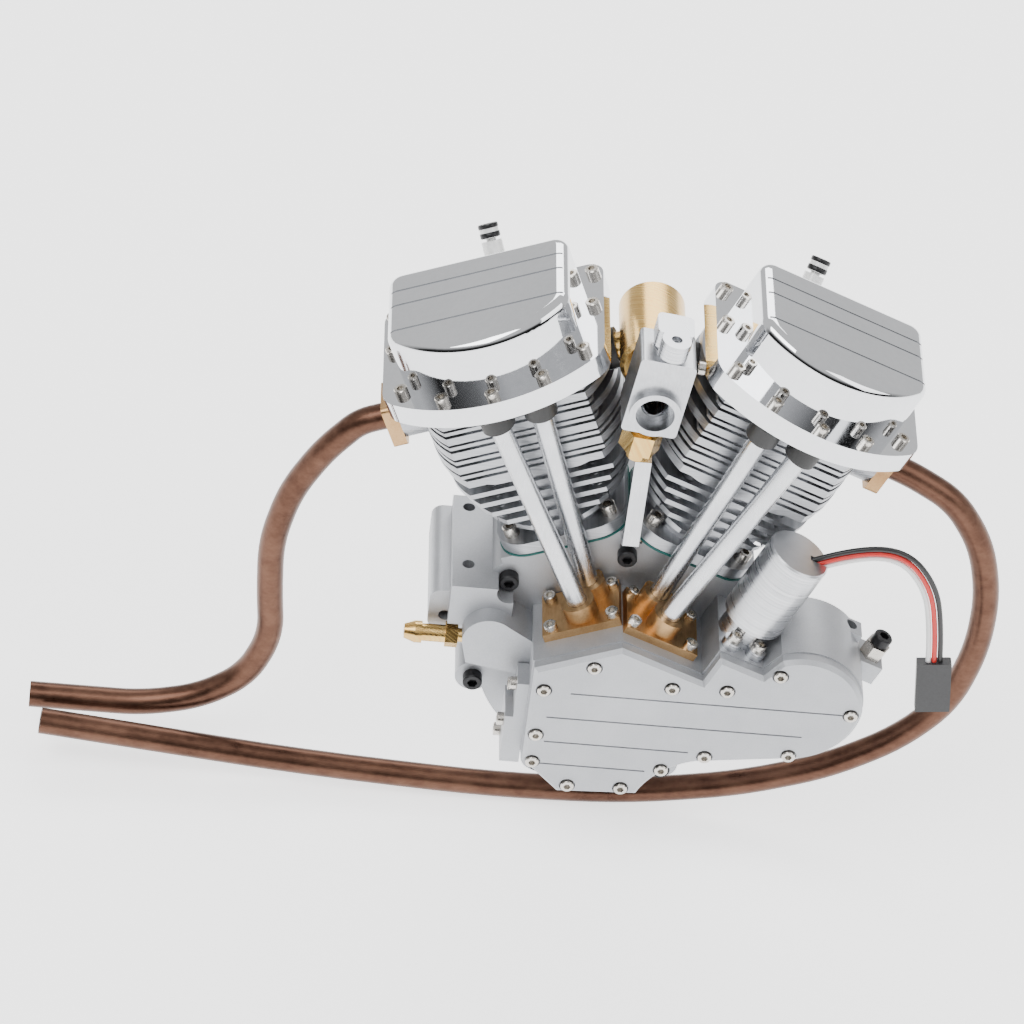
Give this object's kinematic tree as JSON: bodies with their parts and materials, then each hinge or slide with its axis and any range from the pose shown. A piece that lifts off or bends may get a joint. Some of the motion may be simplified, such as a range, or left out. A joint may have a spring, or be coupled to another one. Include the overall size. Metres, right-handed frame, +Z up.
{
  "type": "twin-cylinder model engine",
  "caption": "Miniature air-cooled V-twin four-stroke engine with mirror rocker covers, brass tappet blocks, barrel carburettor, gear-driven pickup and two swept copper tail pipes.",
  "frame": {"origin": "on the crankshaft axis at the face of the rear bearing boss, where the output shaft leaves the crankcase", "axes": "+X towards the right-hand cylinder, +Y along the output shaft away from the timing cover, +Z up between the cylinders"},
  "size_m": [0.2162, 0.0716, 0.1494],
  "materials": {
    "cast": "bead blasted matte aluminium",
    "machined": "satin machined aluminium",
    "fins": "satin machined aluminium",
    "mirror_cover": "polished mirror finish",
    "tube": "polished",
    "steel": "turned steel",
    "screw_steel": "stainless",
    "black_screw": "black oxide",
    "brass": "satin brass",
    "bronze": "satin brass",
    "copper": "heat tinted brown copper",
    "rubber": "black rubber",
    "gasket": "dark green gasket",
    "wire_black": "wire insulation",
    "wire_red": "wire insulation",
    "wire_white": "wire insulation",
    "plug": "black plastic",
    "ceramic": "white glazed ceramic"
  },
  "bodies": {
    "engine": {"crankcase_front_half": "cast", "crankcase_rear_half": "cast", "case_screws": "black_screw", "hex_standoff": "screw_steel", "main_bearings": "steel", "crankpin": "steel", "connecting_rods": "machined", "pistons": "machined", "wrist_pins": "steel", "cam_cover": "cast", "base_gaskets": "gasket", "cylinder_barrels": "fins", "base_screws": "screw_steel", "cylinder_heads": "fins", "rocker_boxes": "machined", "rocker_covers": "mirror_cover", "rocker_shafts": "steel", "tappet_blocks": "bronze", "pushrod_tubes": "tube", "tube_seals": "rubber", "valve_springs": "steel", "small_cap_screws": "screw_steel", "carburettor_body": "machined", "idle_screw": "screw_steel", "fuel_union": "brass", "carb_bracket": "tube", "intake_plenum": "brass", "intake_couplings": "rubber", "ignition_housing": "machined", "ignition_cap": "machined", "lead_wire_black": "wire_black", "lead_wire_red": "wire_red", "lead_wire_white": "wire_white", "lead_plug": "plug", "breather_nipple": "brass", "oil_pump_plate": "machined", "exhaust_flanges": "bronze", "left_exhaust_pipe": "copper", "right_exhaust_pipe": "copper", "spark_plug_bodies": "steel", "spark_plug_insulators": "ceramic"},
    "crank": {"front_flywheel": "steel", "rear_flywheel": "steel"},
    "cam": {"camshaft": "steel"},
    "idler": {"idler_gear": "steel"},
    "ignition_drive": {"ignition_drive_shaft": "steel"},
    "pickup_rotor": {"ignition_rotor": "steel"},
    "throttle": {"throttle_barrel": "machined"},
    "left_exhaust_lifter": {"left_exhaust_pushrod": "steel"},
    "left_exhaust_rocker_arm": {"left_exhaust_rocker": "steel"},
    "left_exhaust_valve_body": {"left_exhaust_valve": "steel"},
    "left_inlet_lifter": {"left_inlet_pushrod": "steel"},
    "left_inlet_rocker_arm": {"left_inlet_rocker": "steel"},
    "left_inlet_valve_body": {"left_inlet_valve": "steel"},
    "right_exhaust_lifter": {"right_exhaust_pushrod": "steel"},
    "right_exhaust_rocker_arm": {"right_exhaust_rocker": "steel"},
    "right_exhaust_valve_body": {"right_exhaust_valve": "steel"},
    "right_inlet_lifter": {"right_inlet_pushrod": "steel"},
    "right_inlet_rocker_arm": {"right_inlet_rocker": "steel"},
    "right_inlet_valve_body": {"right_inlet_valve": "steel"}
  },
  "joints": [
    {"name": "crank_spin", "type": "hinge", "parent": "engine", "child": "crank", "pos_m": [0, 0, 0], "axis": [0, 1, 0], "continuous": true},
    {"name": "cam_spin", "type": "hinge", "parent": "engine", "child": "cam", "pos_m": [0, -0.023, 0.009], "axis": [0, 1, 0], "continuous": true},
    {"name": "idler_spin", "type": "hinge", "parent": "engine", "child": "idler", "pos_m": [0.0111, -0.023, 0.009], "axis": [0, 1, 0], "continuous": true},
    {"name": "ignition_drive_spin", "type": "hinge", "parent": "engine", "child": "ignition_drive", "pos_m": [0.0222, -0.023, 0.009], "axis": [0, 1, 0], "continuous": true},
    {"name": "pickup_spin", "type": "hinge", "parent": "engine", "child": "pickup_rotor", "pos_m": [0.0222, -0.045, 0.009], "axis": [0.3827, 0, 0.9239], "continuous": true},
    {"name": "throttle_turn", "type": "hinge", "parent": "engine", "child": "throttle", "pos_m": [0, -0.04185, 0.08226], "axis": [0.1219, 0, 0.9925], "range_deg": [0, 75]},
    {"name": "left_exhaust_lift", "type": "slide", "parent": "engine", "child": "left_exhaust_lifter", "axis": [-0.3827, 0, 0.9239], "range_m": [0, 0.0014]},
    {"name": "left_exhaust_rock", "type": "hinge", "parent": "engine", "child": "left_exhaust_rocker_arm", "pos_m": [-0.03605, -0.0336, 0.08703], "axis": [-0.9239, 0, -0.3827], "range_deg": [0, 8.5]},
    {"name": "left_exhaust_valve_slide", "type": "slide", "parent": "engine", "child": "left_exhaust_valve_body", "axis": [0.3827, 0, -0.9239], "range_m": [0, 0.0018]},
    {"name": "left_inlet_lift", "type": "slide", "parent": "engine", "child": "left_inlet_lifter", "axis": [-0.3827, 0, 0.9239], "range_m": [0, 0.0014]},
    {"name": "left_inlet_rock", "type": "hinge", "parent": "engine", "child": "left_inlet_rocker_arm", "pos_m": [-0.03605, -0.0336, 0.08703], "axis": [-0.9239, 0, -0.3827], "range_deg": [0, 8.5]},
    {"name": "left_inlet_valve_slide", "type": "slide", "parent": "engine", "child": "left_inlet_valve_body", "axis": [0.3827, 0, -0.9239], "range_m": [0, 0.0018]},
    {"name": "right_exhaust_lift", "type": "slide", "parent": "engine", "child": "right_exhaust_lifter", "axis": [0.3827, 0, 0.9239], "range_m": [0, 0.0014]},
    {"name": "right_exhaust_rock", "type": "hinge", "parent": "engine", "child": "right_exhaust_rocker_arm", "pos_m": [0.03605, -0.036, 0.08703], "axis": [0.9239, 0, -0.3827], "range_deg": [-8.5, 0]},
    {"name": "right_exhaust_valve_slide", "type": "slide", "parent": "engine", "child": "right_exhaust_valve_body", "axis": [-0.3827, 0, -0.9239], "range_m": [0, 0.0018]},
    {"name": "right_inlet_lift", "type": "slide", "parent": "engine", "child": "right_inlet_lifter", "axis": [0.3827, 0, 0.9239], "range_m": [0, 0.0014]},
    {"name": "right_inlet_rock", "type": "hinge", "parent": "engine", "child": "right_inlet_rocker_arm", "pos_m": [0.03605, -0.036, 0.08703], "axis": [0.9239, 0, -0.3827], "range_deg": [-8.5, 0]},
    {"name": "right_inlet_valve_slide", "type": "slide", "parent": "engine", "child": "right_inlet_valve_body", "axis": [-0.3827, 0, -0.9239], "range_m": [0, 0.0018]}
  ],
  "couplings": [
    {"joint": "cam_spin", "follows": "crank_spin", "ratio": -0.5},
    {"joint": "idler_spin", "follows": "crank_spin", "ratio": 0.58824},
    {"joint": "ignition_drive_spin", "follows": "crank_spin", "ratio": -0.5},
    {"joint": "pickup_spin", "follows": "crank_spin", "ratio": -0.5},
    {"joint": "left_exhaust_rock", "follows": "left_exhaust_lift", "rad_per_m": 92.353},
    {"joint": "left_exhaust_valve_slide", "follows": "left_exhaust_lift", "ratio": 1.0898},
    {"joint": "left_inlet_rock", "follows": "left_inlet_lift", "rad_per_m": 94.842},
    {"joint": "left_inlet_valve_slide", "follows": "left_inlet_lift", "ratio": 1.1191},
    {"joint": "right_exhaust_rock", "follows": "right_exhaust_lift", "rad_per_m": -92.353},
    {"joint": "right_exhaust_valve_slide", "follows": "right_exhaust_lift", "ratio": 1.0898},
    {"joint": "right_inlet_rock", "follows": "right_inlet_lift", "rad_per_m": -94.842},
    {"joint": "right_inlet_valve_slide", "follows": "right_inlet_lift", "ratio": 1.1191}
  ]
}
